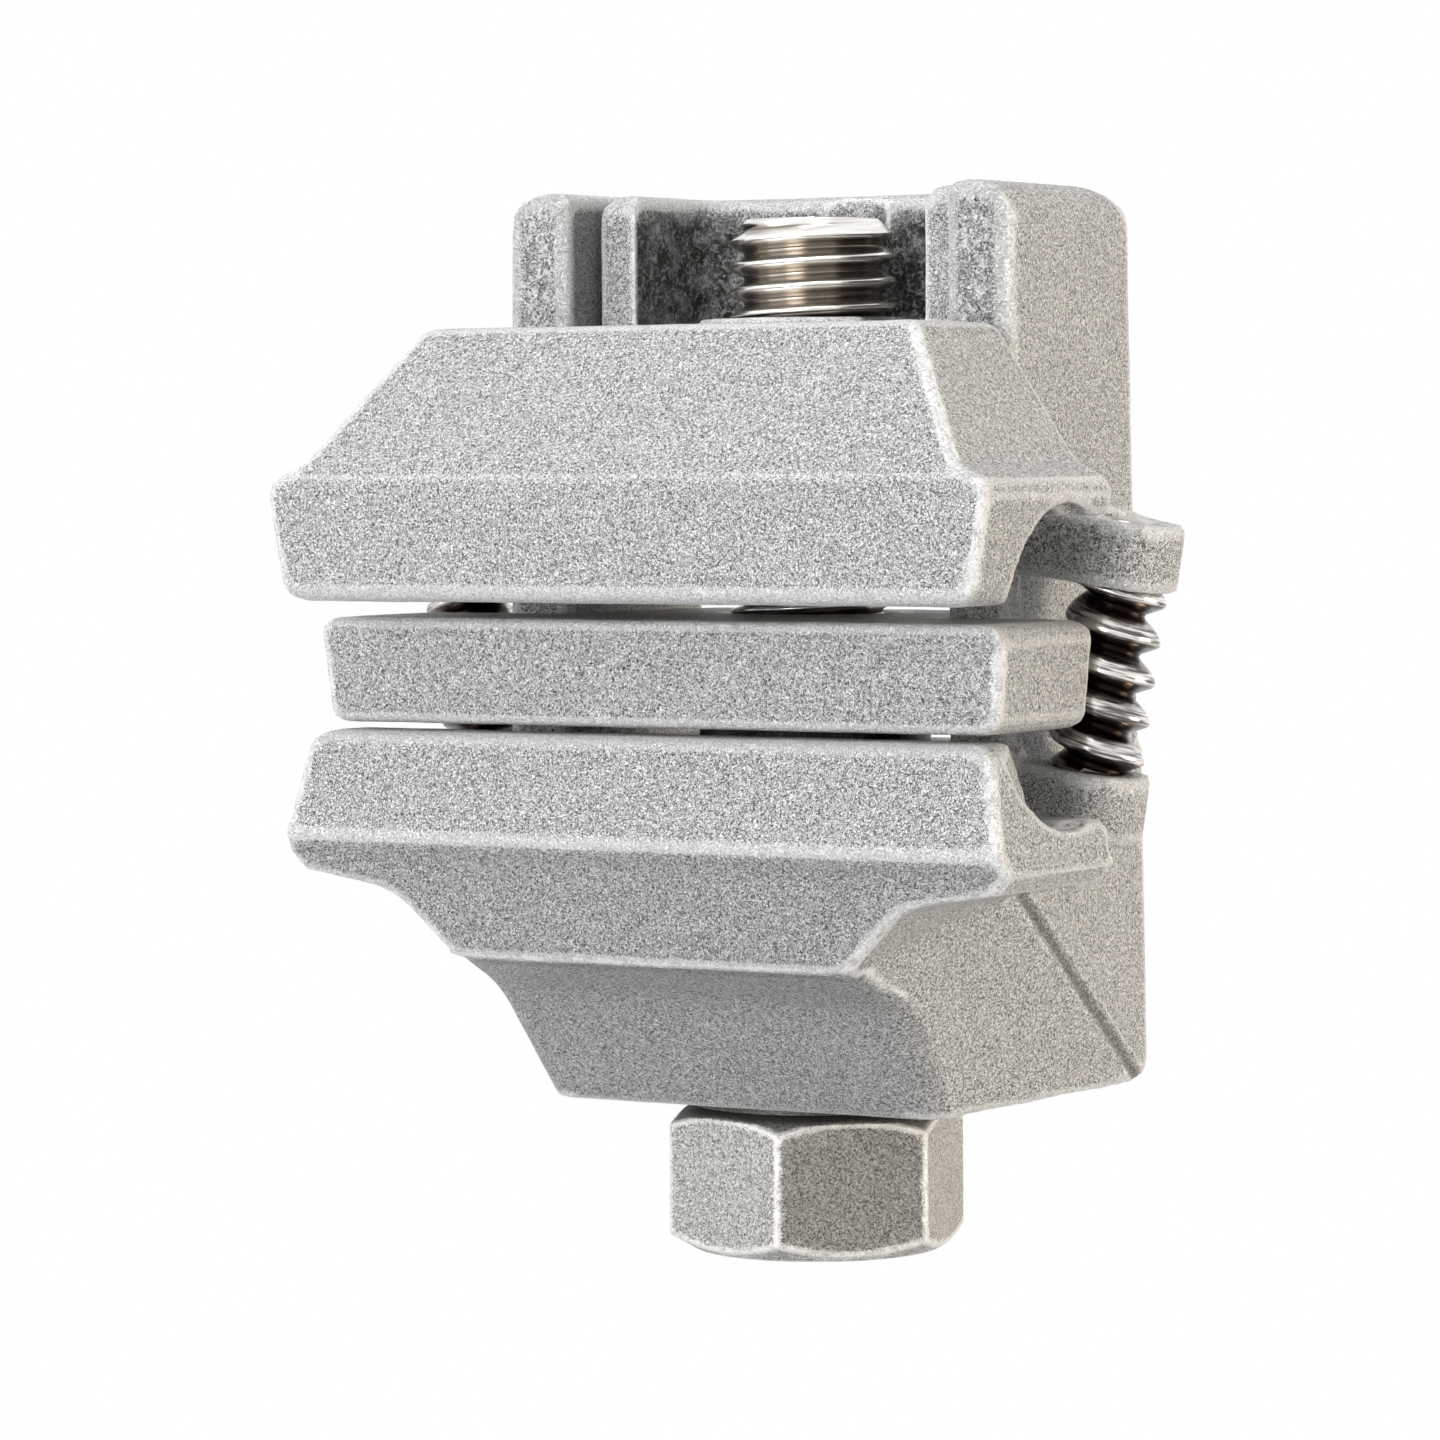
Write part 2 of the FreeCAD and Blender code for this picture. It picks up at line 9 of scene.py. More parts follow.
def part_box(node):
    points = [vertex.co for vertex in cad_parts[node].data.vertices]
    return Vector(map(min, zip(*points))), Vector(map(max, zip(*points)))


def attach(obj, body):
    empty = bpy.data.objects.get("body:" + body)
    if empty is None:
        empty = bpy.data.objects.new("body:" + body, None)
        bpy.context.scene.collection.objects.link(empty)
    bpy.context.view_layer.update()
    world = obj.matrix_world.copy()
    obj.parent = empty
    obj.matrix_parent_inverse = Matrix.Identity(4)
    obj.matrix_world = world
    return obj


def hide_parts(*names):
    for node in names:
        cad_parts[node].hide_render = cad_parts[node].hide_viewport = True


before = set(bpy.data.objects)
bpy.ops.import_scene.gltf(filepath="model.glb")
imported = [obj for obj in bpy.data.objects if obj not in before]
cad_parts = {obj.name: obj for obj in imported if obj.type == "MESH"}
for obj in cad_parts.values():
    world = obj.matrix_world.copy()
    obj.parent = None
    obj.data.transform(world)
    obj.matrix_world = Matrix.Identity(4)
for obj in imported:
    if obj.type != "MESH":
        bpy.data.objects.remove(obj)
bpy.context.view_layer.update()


# Lower casting: the front jaw, the tapered block under it and the two rear posts with their lugs,
# sand cast in aluminium as one piece. The mould leaves every edge and inner corner rounded and no
# face quite flat, and the casting is shot-blasted once it is fettled.
MM = 0.001


def linear(colour):
    """Linear colour of an sRGB hex value such as "#B4B6B8"."""
    parts = [int(colour[i:i + 2], 16) / 255 for i in (1, 3, 5)]
    return [c / 12.92 if c <= 0.04045 else ((c + 0.055) / 1.055) ** 2.4 for c in parts] + [1.0]


def clamp(value):
    """The value, held between 0 and 1."""
    return min(1.0, max(0.0, value))


def wire(tree, node, **inputs):
    """Fills inputs of a node, each with a value, an sRGB hex value, a node or a node's output."""
    for name, value in inputs.items():
        socket = next(s for s in node.inputs if name in (s.name.replace(" ", "_"), s.identifier))
        if isinstance(value, bpy.types.Node):
            value = next(output for output in value.outputs if output.enabled)
        if isinstance(value, bpy.types.NodeSocket):
            tree.links.new(value, socket)
        else:
            socket.default_value = linear(value) if isinstance(value, str) else value


def add(tree, kind, settings=None, **inputs):
    """Adds a node with its settings and inputs."""
    node = tree.nodes.new("ShaderNode" + kind)
    for name, value in (settings or {}).items():
        setattr(node, name, value)
    wire(tree, node, **inputs)
    return node


def new_material(name):
    """A material with its tree, its Principled shader and Object coordinates."""
    material = bpy.data.materials.new(name)
    material.use_nodes = True
    tree = material.node_tree
    place = add(tree, "TexCoord").outputs["Object"]
    return material, tree, tree.nodes["Principled BSDF"], place


def grained_metal(name, dark, light, edge, pit_dirt_and_shade_colour, shot, dent, matt, worn):
    """Grainy metal: shot is the grain's width and dent its depth, in mm.

    Matt and worn are the roughness of the skin and of its rubbed places. A softened mesh carries
    the way from its nearest sharp edge, in mm, and how rounded, how coarse and how deep in painted
    shade it is there, from 0 to 1. A plain CAD mesh has none of these, and so no painted shade and
    no worn or highlit edges.
    """
    material, tree, shader, place = new_material(name)
    from_edge = add(tree, "Attribute", {"attribute_name": "from_edge"}).outputs["Vector"]
    rounded, painted_shade, coarse, edged = (
        add(tree, "Attribute", {"attribute_name": field}).outputs["Fac"]
        for field in ("rounded", "painted_shade", "coarse", "edged"))
    pit_width, pit_depth, blotch_width = 0.42 * MM, 0.5 * MM, 0.8 * MM
    grain = add(tree, "TexNoise", Vector=place, Scale=1 / (shot * MM), Detail=1.0, Roughness=0.6,
                Distortion=1.5)
    pits = add(tree, "TexNoise", Vector=place, Scale=1 / pit_width, Detail=2.0, Roughness=0.6,
               Distortion=1.0)
    blotch = add(tree, "TexNoise", Vector=place, Scale=1 / blotch_width, Detail=3.0,
                 Roughness=0.65)

    # The skin is speckled by its grain, and dirt darkens its pits. Painted shade darkens the places
    # that the mesh marks as in shade, in the same dark colour as the dirt.
    speckle = add(tree, "MapRange", Value=grain, From_Min=0.39, From_Max=0.61)
    skin = add(tree, "Mix", {"data_type": "RGBA"}, Factor_Float=speckle, A_Color=dark,
               B_Color=light)
    pitted = add(tree, "MapRange", Value=pits, From_Min=0.50, From_Max=0.62, To_Max=0.45)
    # Pit dirt and painted shade, added together.
    dirt_and_shade = add(tree, "Math", {"operation": "MULTIPLY_ADD", "use_clamp": True}, Value=pitted,
               Value_001=coarse, Value_002=painted_shade)
    stained_and_shaded = add(tree, "Mix", {"data_type": "RGBA"}, Factor_Float=dirt_and_shade, A_Color=skin,
                  B_Color=pit_dirt_and_shade_colour)

    # Wear, partly real and partly a painted highlight, is full within about 0.15 mm of a sharp edge
    # and gone beyond about 0.45 mm, with a border that blotches and grains fray.
    away = add(tree, "VectorMath", {"operation": "LENGTH"}, Vector=from_edge)
    away = add(tree, "Math", {"operation": "MULTIPLY_ADD"}, Value=blotch, Value_001=-0.9,
               Value_002=away)
    away = add(tree, "Math", {"operation": "MULTIPLY_ADD"}, Value=grain, Value_001=-0.6,
               Value_002=away)
    along_edge = add(tree, "MapRange", Value=away, From_Min=-0.62, From_Max=-0.30, To_Min=0.8,
                     To_Max=0.0)
    along_edge = add(tree, "Math", {"operation": "MULTIPLY"}, Value=along_edge, Value_001=edged)

    # The spots between the pits are rubbed too, and a painted highlight lies on the grains of a
    # tight round.
    between = add(tree, "MapRange", Value=pits, From_Min=0.48, From_Max=0.34, To_Max=0.7)
    high_spots = add(tree, "Math", {"operation": "MULTIPLY"}, Value=between, Value_001=coarse)
    bulge = add(tree, "Math", {"operation": "MULTIPLY_ADD"}, Value=grain, Value_001=0.8,
                Value_002=rounded)
    on_rounds = add(tree, "MapRange", Value=bulge, From_Min=0.75, From_Max=1.30, To_Max=0.45)
    rubbed_and_highlit = add(tree, "Math", {"operation": "MAXIMUM"}, Value=along_edge, Value_001=high_spots)
    rubbed_and_highlit = add(tree, "Math", {"operation": "MAXIMUM"}, Value=rubbed_and_highlit, Value_001=on_rounds)

    # The edge colour serves both the rubbed places and the painted highlights.
    colour = add(tree, "Mix", {"data_type": "RGBA"}, Factor_Float=rubbed_and_highlit, A_Color=stained_and_shaded,
                 B_Color=edge)
    roughness = add(tree, "MapRange", Value=rubbed_and_highlit, To_Min=matt, To_Max=worn)
    lumps = add(tree, "Bump", {"invert": True}, Height=pits, Distance=pit_depth, Strength=coarse)
    peen = add(tree, "Bump", Height=grain, Distance=dent * MM, Strength=1.0, Normal=lumps)
    wire(tree, shader, Base_Color=colour, Metallic=0.45, Roughness=roughness, Normal=peen)
    return material


# Shot-blasted cast aluminium. Fine steel shot leaves it matt and peened all over, so it glitters
# in grains instead of reflecting, and handling rubs its edges bright, with a painted highlight on
# its edges and rounds as well. Its darkest colour serves both dirt in the pits and painted shade.
# The real grain is about 0.12 mm wide. It is drawn about half as wide again, or it would hardly
# show in the render.
cast_aluminium = grained_metal(
    "shot_blasted_cast_aluminium", dark="#484847", light="#F0F0EE", edge="#FCFCFA",
    pit_dirt_and_shade_colour="#26251F", shot=0.135, dent=0.15, matt=0.5, worn=0.30)


def softened(node, name, finish, grid, unevenness, skin_at):
    """A dense copy of a CAD node with rounded edges and slightly uneven faces.

    Grid is the distance between its vertices and unevenness the height of its waves, in mm. For a
    place in mm and a direction, skin_at gives how much painted shade darkens the skin there, how
    coarse the skin is, and how deep it is sunk, in mm.
    """
    weld_gap, sample_step = 0.002 * MM, 0.2 * MM
    shell = bmesh.new()
    shell.from_mesh(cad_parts[node].data)
    bmesh.ops.remove_doubles(shell, verts=shell.verts, dist=weld_gap)

    # Samples along the outer edges that are sharp enough to wear. The sharpest wear widest.
    least_turn, turn_range = math.radians(14), math.radians(75)
    sharp = []
    for edge in shell.edges:
        if edge.is_manifold and edge.is_convex and edge.calc_face_angle() > least_turn:
            first, second = (vert.co for vert in edge.verts)
            steps = int(edge.calc_length() / sample_step) + 1
            share = clamp(0.4 + edge.calc_face_angle() / turn_range)
            sharp += [(first.lerp(second, step / steps), share) for step in range(steps + 1)]
    nearest = kdtree.KDTree(len(sharp))
    for index, (spot, share) in enumerate(sharp):
        nearest.insert(spot, index)
    nearest.balance()

    rough = bpy.data.meshes.new(node + "_rough")
    shell.to_mesh(rough)
    shell.free()
    maker = bpy.data.objects.new(node + "_maker", rough)
    bpy.context.scene.collection.objects.link(maker)
    remesh = maker.modifiers.new("remesh", "REMESH")
    remesh.mode = "VOXEL"
    remesh.voxel_size = grid * MM
    remesh.adaptivity = 0.0
    smooth = maker.modifiers.new("smooth", "SMOOTH")
    smooth.iterations = 2
    smooth.factor = 0.5
    ready = maker.evaluated_get(bpy.context.evaluated_depsgraph_get())
    mesh = bpy.data.meshes.new_from_object(ready)
    bpy.data.objects.remove(maker)
    mesh.materials.clear()
    mesh.materials.append(finish)

    skin = bmesh.new()
    skin.from_mesh(mesh)
    skin.normal_update()
    from_edge = skin.verts.layers.float_vector.new("from_edge")
    rounded, painted_shade, coarse, edged = (
        skin.verts.layers.float.new(field) for field in ("rounded", "painted_shade", "coarse", "edged"))

    # Curvature in 1/mm, averaged with its neighbours twice.
    around = [[edge.other_vert(vert).index for edge in vert.link_edges] for vert in skin.verts]
    spots = [vert.co.copy() for vert in skin.verts]
    bends = []
    for vert, near in zip(skin.verts, around):
        middle = sum((spots[i] for i in near), Vector()) / len(near)
        bends.append(4 * (vert.co - middle).dot(vert.normal) / (grid * grid * MM))
    for _ in range(2):
        bends = [0.5 * bend + 0.5 * sum(bends[i] for i in near) / len(near)
                 for bend, near in zip(bends, around)]

    # Sunk places and places deep in painted shade are never rubbed or highlit. A round gets the
    # painted highlight from a radius of 10 mm, and fully from about 2 mm.
    wear_reach, out_of_reach = 1.3 * MM, Vector((9, 9, 9))
    least_bend, bend_range = 0.1, 0.35
    swell, ripple = 5 * MM, 1.4 * MM
    for vert, bend in zip(skin.verts, bends):
        # The first value that skin_at gives is painted shade.
        vert[painted_shade], vert[coarse], sunk = skin_at(vert.co / MM, vert.normal)
        vert[edged] = 1.0
        bare = sunk < 0.01 and vert[painted_shade] < 0.6
        spot, index, distance = nearest.find(vert.co)
        if bare and distance < wear_reach:
            vert[from_edge] = (vert.co - spot) / MM / sharp[index][1]
        else:
            vert[from_edge] = out_of_reach
        vert[rounded] = clamp((bend - least_bend) / bend_range) if bare else 0.0
        vert.co -= vert.normal * sunk * MM
        wave = noise.noise(vert.co / swell) + 0.4 * noise.noise(vert.co / ripple)
        vert.co += vert.normal * wave * unevenness * MM
    for face in skin.faces:
        face.smooth = True
    skin.to_mesh(mesh)
    skin.free()
    piece = bpy.data.objects.new(name, mesh)
    bpy.context.scene.collection.objects.link(piece)
    return piece


# Places in mm: the slot between the posts, the heights of the jaw's foot and of the block's front
# panel, the foot and the front of the posts, and the crease up each flank of the block. A fade is
# the length over which a look sets in.
slot_half, slot_front, slot_floor = 15.7, 7.5, -12.5
jaw_foot, jaw_fade, panel_top = -19.4, 1.5, -27.9
post_foot, post_fade, post_front = -2.0, 4.0, 8.5
flank_side, flank_top = 19.5, -21.5
crease_low, crease_high = Vector((21.11, 27.9, -39.55)), Vector((20.94, 6.32, -21.65))
crease_line = (crease_high - crease_low).normalized()
crease_width, crease_depth = 0.5, 0.15


def body_skin(spot, facing):
    """Coarse on the posts, with painted shade in their slot and under the jaw, and a sunk crease on
    each flank that painted shade darkens.
    """
    # Painted shade: half in the slot, up to 0.4 on faces that look down and forward below the jaw's
    # foot, 0.24 on those of the panel, and up to 0.75 in the crease.
    in_slot = abs(spot.x) < slot_half and spot.z > slot_floor and spot.y > slot_front
    under_jaw = 0.40 * clamp((jaw_foot - spot.z) / jaw_fade) if spot.z > panel_top else 0.24
    below = under_jaw * clamp(-3 * facing.z) if facing.y < -0.4 else 0.0
    on_post = clamp((spot.z - post_foot) / post_fade) * (abs(facing.x) < 0.75)
    pitted = on_post * (1.0 if spot.y < post_front else 0.4)
    crease = 0.0
    if abs(spot.x) > flank_side and spot.z < flank_top:
        here = Vector((abs(spot.x), spot.y, spot.z)) - crease_low
        beside = (here - crease_line * here.dot(crease_line)).length
        crease = clamp(1.25 - beside / crease_width)
    return max(0.5 if in_slot else 0.0, below, 0.75 * crease), pitted, crease_depth * crease


body = softened("body", "body_cast", cast_aluminium, 0.40, 0.04, body_skin)
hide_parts("body")
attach(body, "body")


# Keeper: the upper casting, whose hipped front jaw carries a U-shaped tail that slides between
# the posts. Cast and blasted like the lower one, but neither shot nor hands reach into the U, so
# it stays pitted, and painted shade darkens it inside, patchy and thinning towards its open top.
tail_half, tail_front, tail_back, tail_foot = 12.3, 10.9, 22.3, 16.6
jaw_top, top_fade = 16.9, 0.6
shade_top, shade_fade, shade_patch = 25.4, 1.5, 1.5


def keeper_skin(spot, facing):
    """The tail is coarse, with painted shade inside that thins out towards its open top."""
    in_front = tail_front < spot.y < tail_back
    inside = abs(spot.x) < tail_half and in_front and spot.z > tail_foot
    patchy = 0.5 + 0.5 * noise.noise(spot / shade_patch)
    # Painted shade inside the U.
    pocket_shade = (0.25 + patchy) * clamp((shade_top - spot.z) / shade_fade) if inside else 0.0
    pitted = 0.45 if inside or facing.y < -0.6 else 1.0
    return pocket_shade, pitted * clamp((spot.z - jaw_top) / top_fade), 0.0


keeper = softened("keeper", "keeper_cast", cast_aluminium, 0.34, 0.04, keeper_skin)
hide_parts("keeper")
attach(keeper, "keeper")


# Spacer bar: a small aluminium casting that lies loose between the two grooves, with a tongue
# behind that goes round the bolt. Cast and blasted like the other two.
def spacer_skin(spot, facing):
    """A little coarser than the jaws, and the same all over."""
    return 0.0, 0.35, 0.0


spacer = softened("spacer", "spacer_cast", cast_aluminium, 0.27, 0.04, spacer_skin)
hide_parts("spacer")
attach(spacer, "spacer")


# Clamp bolt, M12: a steel bolt whose head is forged and tumbled and whose right-handed thread is
# rolled and chamfered at its end. It stands up between the posts, and turning it draws the keeper
# down on the spacer.
crest_radius, thread_depth, thread_pitch, thread_length, end_chamfer = 6.0, 1.07, 1.75, 30.0, 1.3
# A thread's profile, upwards from one root to the next: share of the pitch, share of the depth.
metric_thread = (
    (0.0, 0.0), (0.2, 0.0), (0.3, 0.3), (0.4, 0.62), (0.5, 0.96), (0.54, 1.0), (0.62, 1.0),
    (0.66, 0.96), (0.77, 0.62), (0.88, 0.3))


def cut_flat(shape, height, up):
    """Cuts off what lies above a height in mm, or below it where up is -1, and closes the end."""
    cut = bmesh.ops.bisect_plane(
        shape, geom=shape.verts[:] + shape.edges[:] + shape.faces[:],
        plane_co=(0, 0, height * MM), plane_no=(0, 0, up), clear_outer=True)
    rim = [part for part in cut["geom_cut"] if isinstance(part, bmesh.types.BMEdge)]
    bmesh.ops.contextual_create(shape, geom=rim)


def threaded_bar(start, end, crest, depth, pitch, hand, profile):
    """A round bar on the Z axis, threaded from start up to end. Lengths are in mm.

    Each vertex keeps its lane, which is its share of the pitch, and its level of painted light:
    0, painted shade, in the root, 1, a painted highlight, on the crest, and about half as much,
    painted shade again, on a flank that faces down.
    """
    turns, steps, weld_gap = int((end - start) / pitch) + 3, 96, 0.004 * MM
    bar = bmesh.new()
    rise, lane = (bar.verts.layers.float.new(field) for field in ("rise", "lane"))
    line = []
    for turn in range(turns):
        for share, height in profile:
            place = (crest - depth * (1 - height), 0, start + (turn - 1 + share) * pitch)
            vert = bar.verts.new(Vector(place) * MM)
            vert[lane] = share
            line.append(vert)
    line.append(bar.verts.new(Vector((crest - depth, 0, start + (turns - 1) * pitch)) * MM))
    edges = [bar.edges.new(pair) for pair in zip(line, line[1:])]
    bmesh.ops.spin(bar, geom=line + edges, cent=(0, 0, 0), axis=(0, 0, hand), angle=2 * math.pi,
                   steps=steps, dvec=(0, 0, pitch * MM / steps), use_merge=False)
    bmesh.ops.remove_doubles(bar, verts=bar.verts, dist=weld_gap)
    cut_flat(bar, start, -1)
    cut_flat(bar, end, 1)
    bmesh.ops.recalc_face_normals(bar, faces=bar.faces)
    bar.normal_update()
    # Painted shade on flanks that face down and towards the root, a painted highlight on the crest.
    for vert in bar.verts:
        shade = clamp(1 + 0.9 * vert.normal.z) if vert.normal.z < 0 else 1.0
        vert[rise] = clamp((vert.co.xy.length / MM - crest + depth) / depth) * shade
    return bar


def rolled_steel(name, root, flank, crest, streaks):
    """Bright steel, with painted shade in the roots of its thread and a painted highlight on its
    crests, and with streaks of the root's colour, from 0 to 1.
    """
    material, tree, shader, place = new_material(name)
    rise, lane = (add(tree, "Attribute", {"attribute_name": field}).outputs["Fac"]
                  for field in ("rise", "lane"))
    # Streaks about 2.5 mm long follow the thread, 14 of them side by side across its pitch.
    streak_length, streaks_across, score_depth = 2.5 * MM, 14, 0.02 * MM
    track = add(tree, "Math", {"operation": "MULTIPLY"}, Value=lane,
                Value_001=streaks_across * streak_length)
    lines = add(tree, "TexNoise", {"noise_dimensions": "4D"}, Vector=place, W=track,
                Scale=1 / streak_length, Detail=2.0)
    # The ramp paints shade into the roots and a highlight onto the crests.
    painted_light_ramp = add(tree, "ValToRGB", Fac=rise)
    low, high = painted_light_ramp.color_ramp.elements
    low.color, low.position = linear(root), 0.02
    high.color, high.position = linear(crest), 0.75
    painted_light_ramp.color_ramp.elements.new(0.3).color = linear(flank)
    streak = add(tree, "MapRange", Value=lines, From_Min=0.40, From_Max=0.58, To_Min=streaks,
                 To_Max=0.0)
    colour = add(tree, "Mix", {"data_type": "RGBA"}, Factor_Float=streak, A_Color=painted_light_ramp,
                 B_Color=root)
    scored = add(tree, "Bump", Height=lines, Distance=score_depth, Strength=0.5)
    wire(tree, shader, Base_Color=colour, Metallic=1.0, Roughness=0.2, Normal=scored)
    return material


# Rolled steel: painted highlights make its flanks and crests bright bands, and painted shade
# darkens its roots and the flanks that face down.
bolt_steel = rolled_steel("bright_rolled_steel", "#81786D", "#EAE6E0", "#FFFDF9", streaks=0.3)
# Tumbled forged steel: an even grey grain, with corners that the tumbling has rubbed bright and a
# painted highlight on its edges and rounds. Its darkest colour serves both dirt and painted shade.
# Its grain is drawn wider than it is as well, to show in the render.
head_steel = grained_metal(
    "tumbled_forged_steel", dark="#5A5956", light="#DAD8D2", edge="#F8F6F2", pit_dirt_and_shade_colour="#26231F",
    shot=0.15, dent=0.08, matt=0.5, worn=0.28)

# Where the painted shadow on the side against the washer starts, in mm, and the bearing of the
# first flat.
shadow_low, shadow_fade, first_flat = -39.9, 0.5, math.radians(59)


def head_skin(spot, facing):
    """Painted shade darkens every other flat of the hexagon, and a painted shadow the side against
    the washer.
    """
    if facing.z > 0.3:
        # Painted shadow on the top of the head, deepest next to the washer.
        return 0.35 + 0.55 * clamp((spot.z - shadow_low) / shadow_fade), 0.0, 0.0
    if abs(facing.z) < 0.5:
        # Painted shade on every other flat.
        bearing = math.atan2(facing.y, facing.x) + first_flat
        return 0.44 * clamp(2 * math.cos(3 * bearing)), 0.0, 0.0
    return 0.0, 0.0, 0.0


bolt_low, bolt_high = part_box("clamp_bolt")
bolt_y = 0.5 * (bolt_low.y + bolt_high.y) / MM
thread_end = bolt_high.z / MM
thread_start = thread_end - thread_length
bolt = softened("clamp_bolt", "bolt_with_thread", head_steel, 0.20, 0.015, head_skin)

# The head and the plain shank reach a little way into the threaded bar.
overlap = 0.3
forged = bmesh.new()
for field in ("rise", "lane"):
    forged.verts.layers.float.new(field)
forged.from_mesh(bolt.data)
cut_flat(forged, thread_start + overlap, 1)

thread = threaded_bar(
    thread_start, thread_end, crest_radius, thread_depth, thread_pitch, 1, metric_thread)
bmesh.ops.translate(thread, verts=thread.verts, vec=(0, bolt_y * MM, 0))
thread_rise = thread.verts.layers.float["rise"]
# The thread's end is chamfered, and the chamfer gets the painted highlight of a crest.
for vert in thread.verts:
    widest = crest_radius - end_chamfer + (thread_end - vert.co.z / MM)
    out = Vector((vert.co.x, vert.co.y - bolt_y * MM))
    vert[thread_rise] = max(vert[thread_rise], clamp(1 + 4 * (out.length / MM - widest)))
    if out.length > widest * MM:
        out = out.normalized() * widest * MM
        vert.co.x, vert.co.y = out.x, out.y + bolt_y * MM
bolt.data.materials.append(bolt_steel)
for face in thread.faces:
    face.material_index = 1
    face.smooth = True
rolled = bpy.data.meshes.new("rolled")
thread.to_mesh(rolled)
thread.free()
forged.from_mesh(rolled)
forged.to_mesh(bolt.data)
forged.free()
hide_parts("clamp_bolt")
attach(bolt, "bolt")


# Side studs: turned steel, with a coarse thread that has a short straight underside and a long
# rounded upper side. One is held between two lugs on the outer side of each post and leans
# outwards with them, and the left one is the mirror image of the right one.
stud_half, stud_crest, stud_depth, stud_pitch, stud_lean = 6.38, 3.4, 1.35, 2.75, 9.0
core_radius, core_length, core_rise = 1.98, 22, 0.6
knuckle_thread = (
    (0.0, 0.0), (0.09, 0.06), (0.18, 0.45), (0.27, 0.85), (0.33, 0.98), (0.39, 1.0),
    (0.50, 0.94), (0.64, 0.76), (0.78, 0.48), (0.91, 0.17))

# Bright turned steel: tool marks run along the thread, and painted shade makes its deep roots
# nearly black, with a painted highlight on its crests.
stud_steel = rolled_steel("bright_turned_steel", "#1C1512", "#80746D", "#EEEAE6", streaks=0.85)

for side, hand in (("right", -1), ("left", 1)):
    node = "side_stud_" + side
    low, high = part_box(node)
    centre = 0.5 * (low + high) / MM
    stud = threaded_bar(
        -stud_half, stud_half, stud_crest, stud_depth, stud_pitch, hand, knuckle_thread)
    core = bmesh.ops.create_cone(
        stud, cap_ends=True, segments=64, radius1=core_radius * MM, radius2=core_radius * MM,
        depth=core_length * MM)
    stud_rise = stud.verts.layers.float["rise"]
    # The core gets a middle level of the painted light.
    for vert in core["verts"]:
        vert[stud_rise] = core_rise
    for face in stud.faces:
        face.smooth = len(face.verts) < 20  # all but the ends
    lean = Matrix.Rotation(math.radians(-hand * stud_lean), 4, "Y")
    bmesh.ops.transform(stud, matrix=Matrix.Translation(centre * MM) @ lean, verts=stud.verts)
    mesh = bpy.data.meshes.new(node + "_thread")
    stud.to_mesh(mesh)
    stud.free()
    piece = bpy.data.objects.new(node + "_thread", mesh)
    bpy.context.scene.collection.objects.link(piece)
    mesh.materials.append(stud_steel)
    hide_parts(node)
    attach(piece, "body")


# Washer, retaining ring and thread insert: small stamped and turned steel parts that keep the
# shape of their solids. The washer lies under the bolt's head, the ring sits in a groove of the
# bolt, so that it can't drop out, and the insert lines the keeper's hole.

# Dark steel, nearly smooth and hardly worn: its dark colour is painted shade, for the gap between
# the block and the bolt's head.
shaded_washer_steel = grained_metal(
    "oiled_washer_steel", dark="#2C2B29", light="#55534F", edge="#9A9893", pit_dirt_and_shade_colour="#1A1917",
    shot=0.3, dent=0.03, matt=0.4, worn=0.3)

for node, steel in (("bolt_washer", shaded_washer_steel), ("retaining_ring", shaded_washer_steel),
                    ("thread_insert", head_steel)):
    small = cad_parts[node]
    small.data.materials.clear()
    small.data.materials.append(steel)


# Studio: a pale floor well below the hanging connector, a camera at the height of its jaws, and
# large soft lamps.
camera_data = bpy.data.cameras.new("camera")
camera_data.lens = 140.4
camera_data.clip_start = 0.01
camera = bpy.data.objects.new("camera", camera_data)
bpy.context.scene.collection.objects.link(camera)
bpy.context.scene.camera = camera
turn, dip, roll = (math.radians(v) for v in (31.14, 2.68, -0.33))
view = Vector((-math.sin(turn) * math.cos(dip), math.cos(turn) * math.cos(dip), -math.sin(dip)))
level_right = Vector((math.cos(turn), math.sin(turn), 0))
level_up = level_right.cross(view)
right = level_right * math.cos(roll) + level_up * math.sin(roll)
up = level_up * math.cos(roll) - level_right * math.sin(roll)
camera.matrix_world = Matrix((right, up, -view)).transposed().to_4x4()
camera.location = Vector((202.1, -332.2, 7.25)) * MM

floor_half, floor_height = 3.0, -0.16
floor_mesh = bmesh.new()
bmesh.ops.create_grid(floor_mesh, x_segments=1, y_segments=1, size=floor_half,
                      matrix=Matrix.Translation((0, 0, floor_height)))
floor_data = bpy.data.meshes.new("floor")
floor_mesh.to_mesh(floor_data)
floor_mesh.free()
floor = bpy.data.objects.new("floor", floor_data)
bpy.context.scene.collection.objects.link(floor)


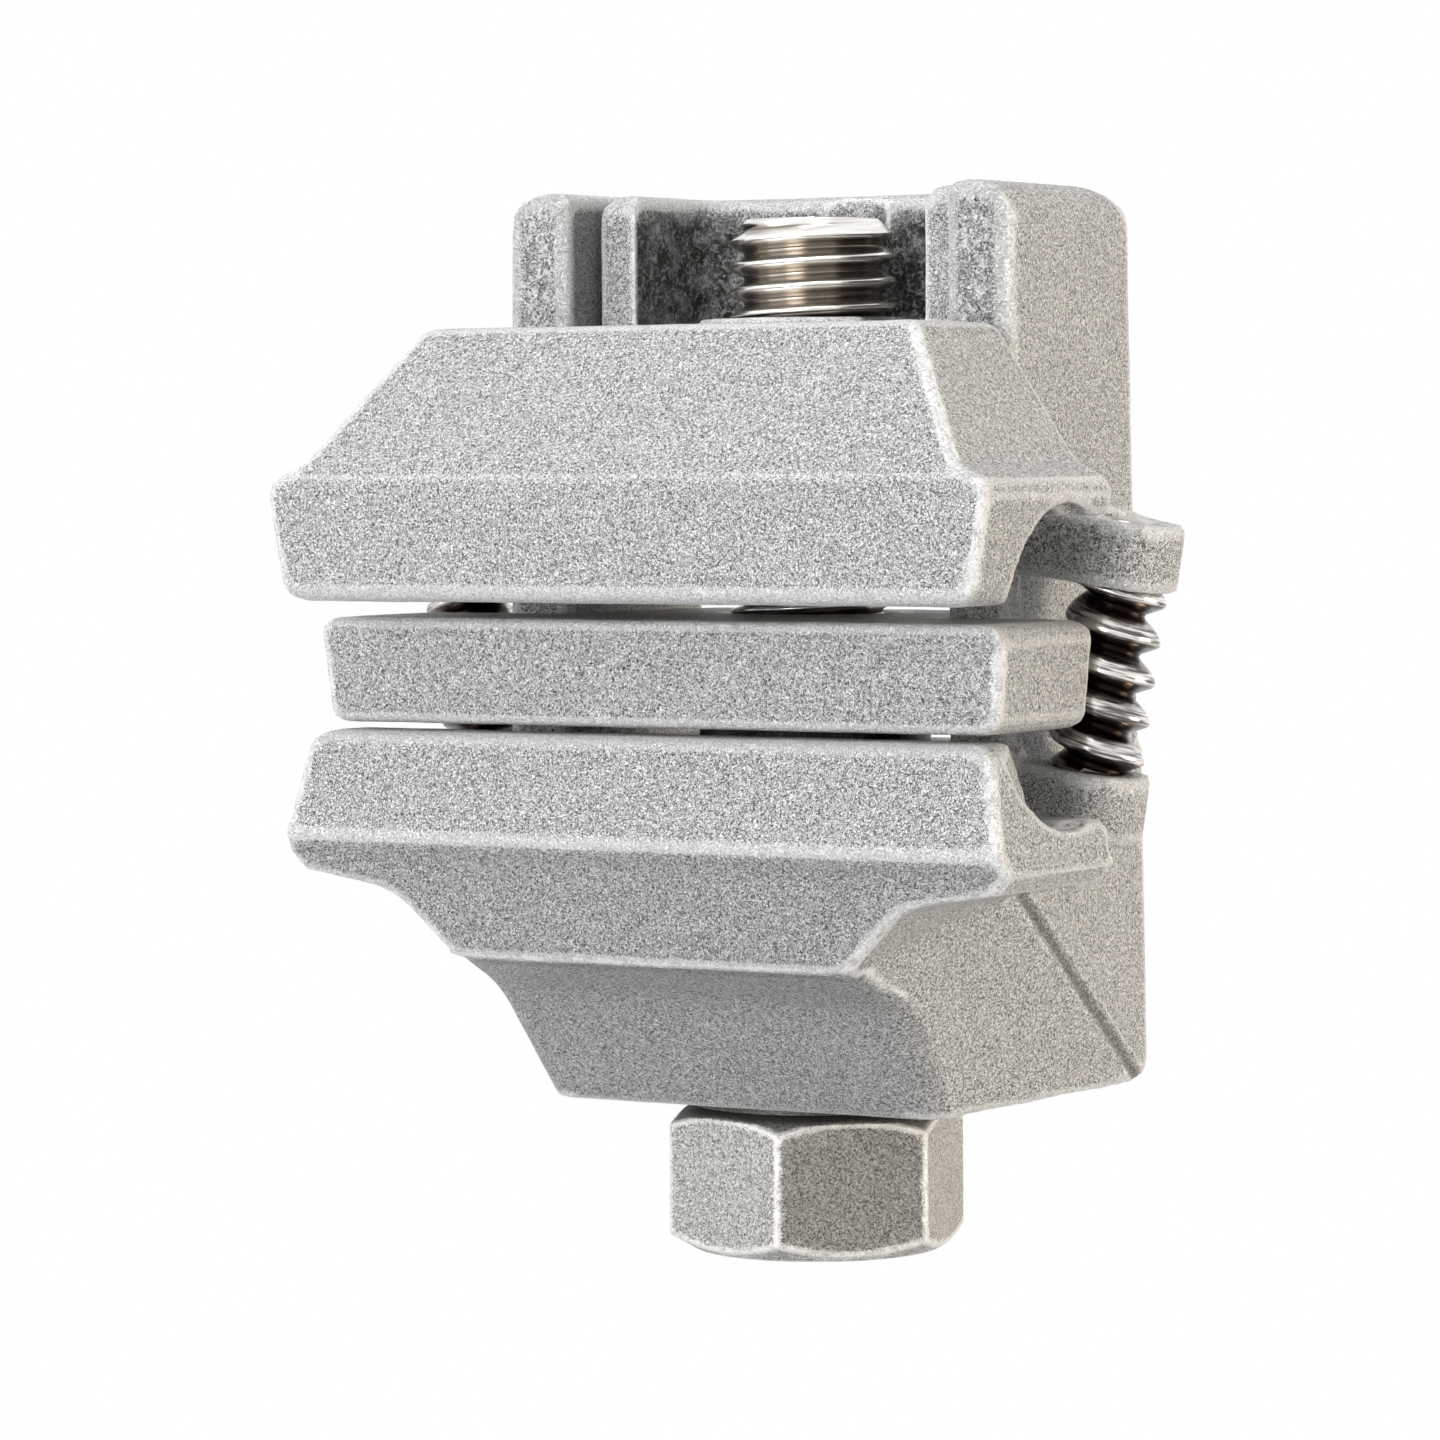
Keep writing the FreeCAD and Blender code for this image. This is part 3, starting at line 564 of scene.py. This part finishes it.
def seen_white(tree, plain, output):
    """White for camera, glossy and transmission rays, the plain shader for all others."""
    path = add(tree, "LightPath")
    mirrored = add(tree, "Math", {"operation": "MAXIMUM"}, Value=path.outputs["Is Glossy Ray"],
                   Value_001=path.outputs["Is Transmission Ray"])
    either = add(tree, "Math", {"operation": "MAXIMUM"}, Value=path.outputs["Is Camera Ray"],
                 Value_001=mirrored)
    white = add(tree, "Background" if plain.type == "BACKGROUND" else "Emission",
                Color="#FFFFFF", Strength=1.0)
    wire(tree, output, Surface=add(tree, "MixShader", Fac=either, Shader=plain, Shader_001=white))


paint, floor_tree, floor_shader, _ = new_material("pale_floor")
wire(floor_tree, floor_shader, Base_Color="#969696", Roughness=0.8)
seen_white(floor_tree, floor_shader, floor_tree.nodes["Material Output"])
floor_data.materials.append(paint)

# The sky brightens from below to above, in linear colours.
world = bpy.data.worlds.new("studio")
bpy.context.scene.world = world
world.use_nodes = True
sky = world.node_tree
heading = add(sky, "TexCoord").outputs["Generated"]
height = add(sky, "SeparateXYZ", Vector=heading).outputs["Z"]
climb = add(sky, "ValToRGB", Fac=add(sky, "MapRange", Value=height, From_Min=-1.0))
climb.color_ramp.elements[0].color = (0.06, 0.06, 0.06, 1)
climb.color_ramp.elements[1].color = (0.85, 0.86, 0.88, 1)
backdrop = sky.nodes["Background"]
wire(sky, backdrop, Color=climb, Strength=0.3)
seen_white(sky, backdrop, sky.nodes["World Output"])


def softbox(name, place, size, power, colour):
    """Square area lamp aimed at the connector."""
    data = bpy.data.lights.new(name, "AREA")
    data.size = size
    data.energy = power
    data.color = linear(colour)[:3]
    lamp = bpy.data.objects.new(name, data)
    bpy.context.scene.collection.objects.link(lamp)
    lamp.location = place
    lamp.rotation_euler = (-Vector(place)).to_track_quat("-Z", "Y").to_euler()


softbox("key", (-0.40, -0.90, 0.27), size=1.1, power=7.8, colour="#F8FAFF")
softbox("front", (0.0, -1.0, 0.1), size=0.5, power=5.1, colour="#FFFFFF")
softbox("side", (0.85, 0.42, -0.1), size=0.45, power=8.9, colour="#FFEFD8")
softbox("top", (0.05, -0.1, 0.95), size=0.4, power=3.9, colour="#FFFFFF")

bpy.context.scene.view_settings.view_transform = "Standard"
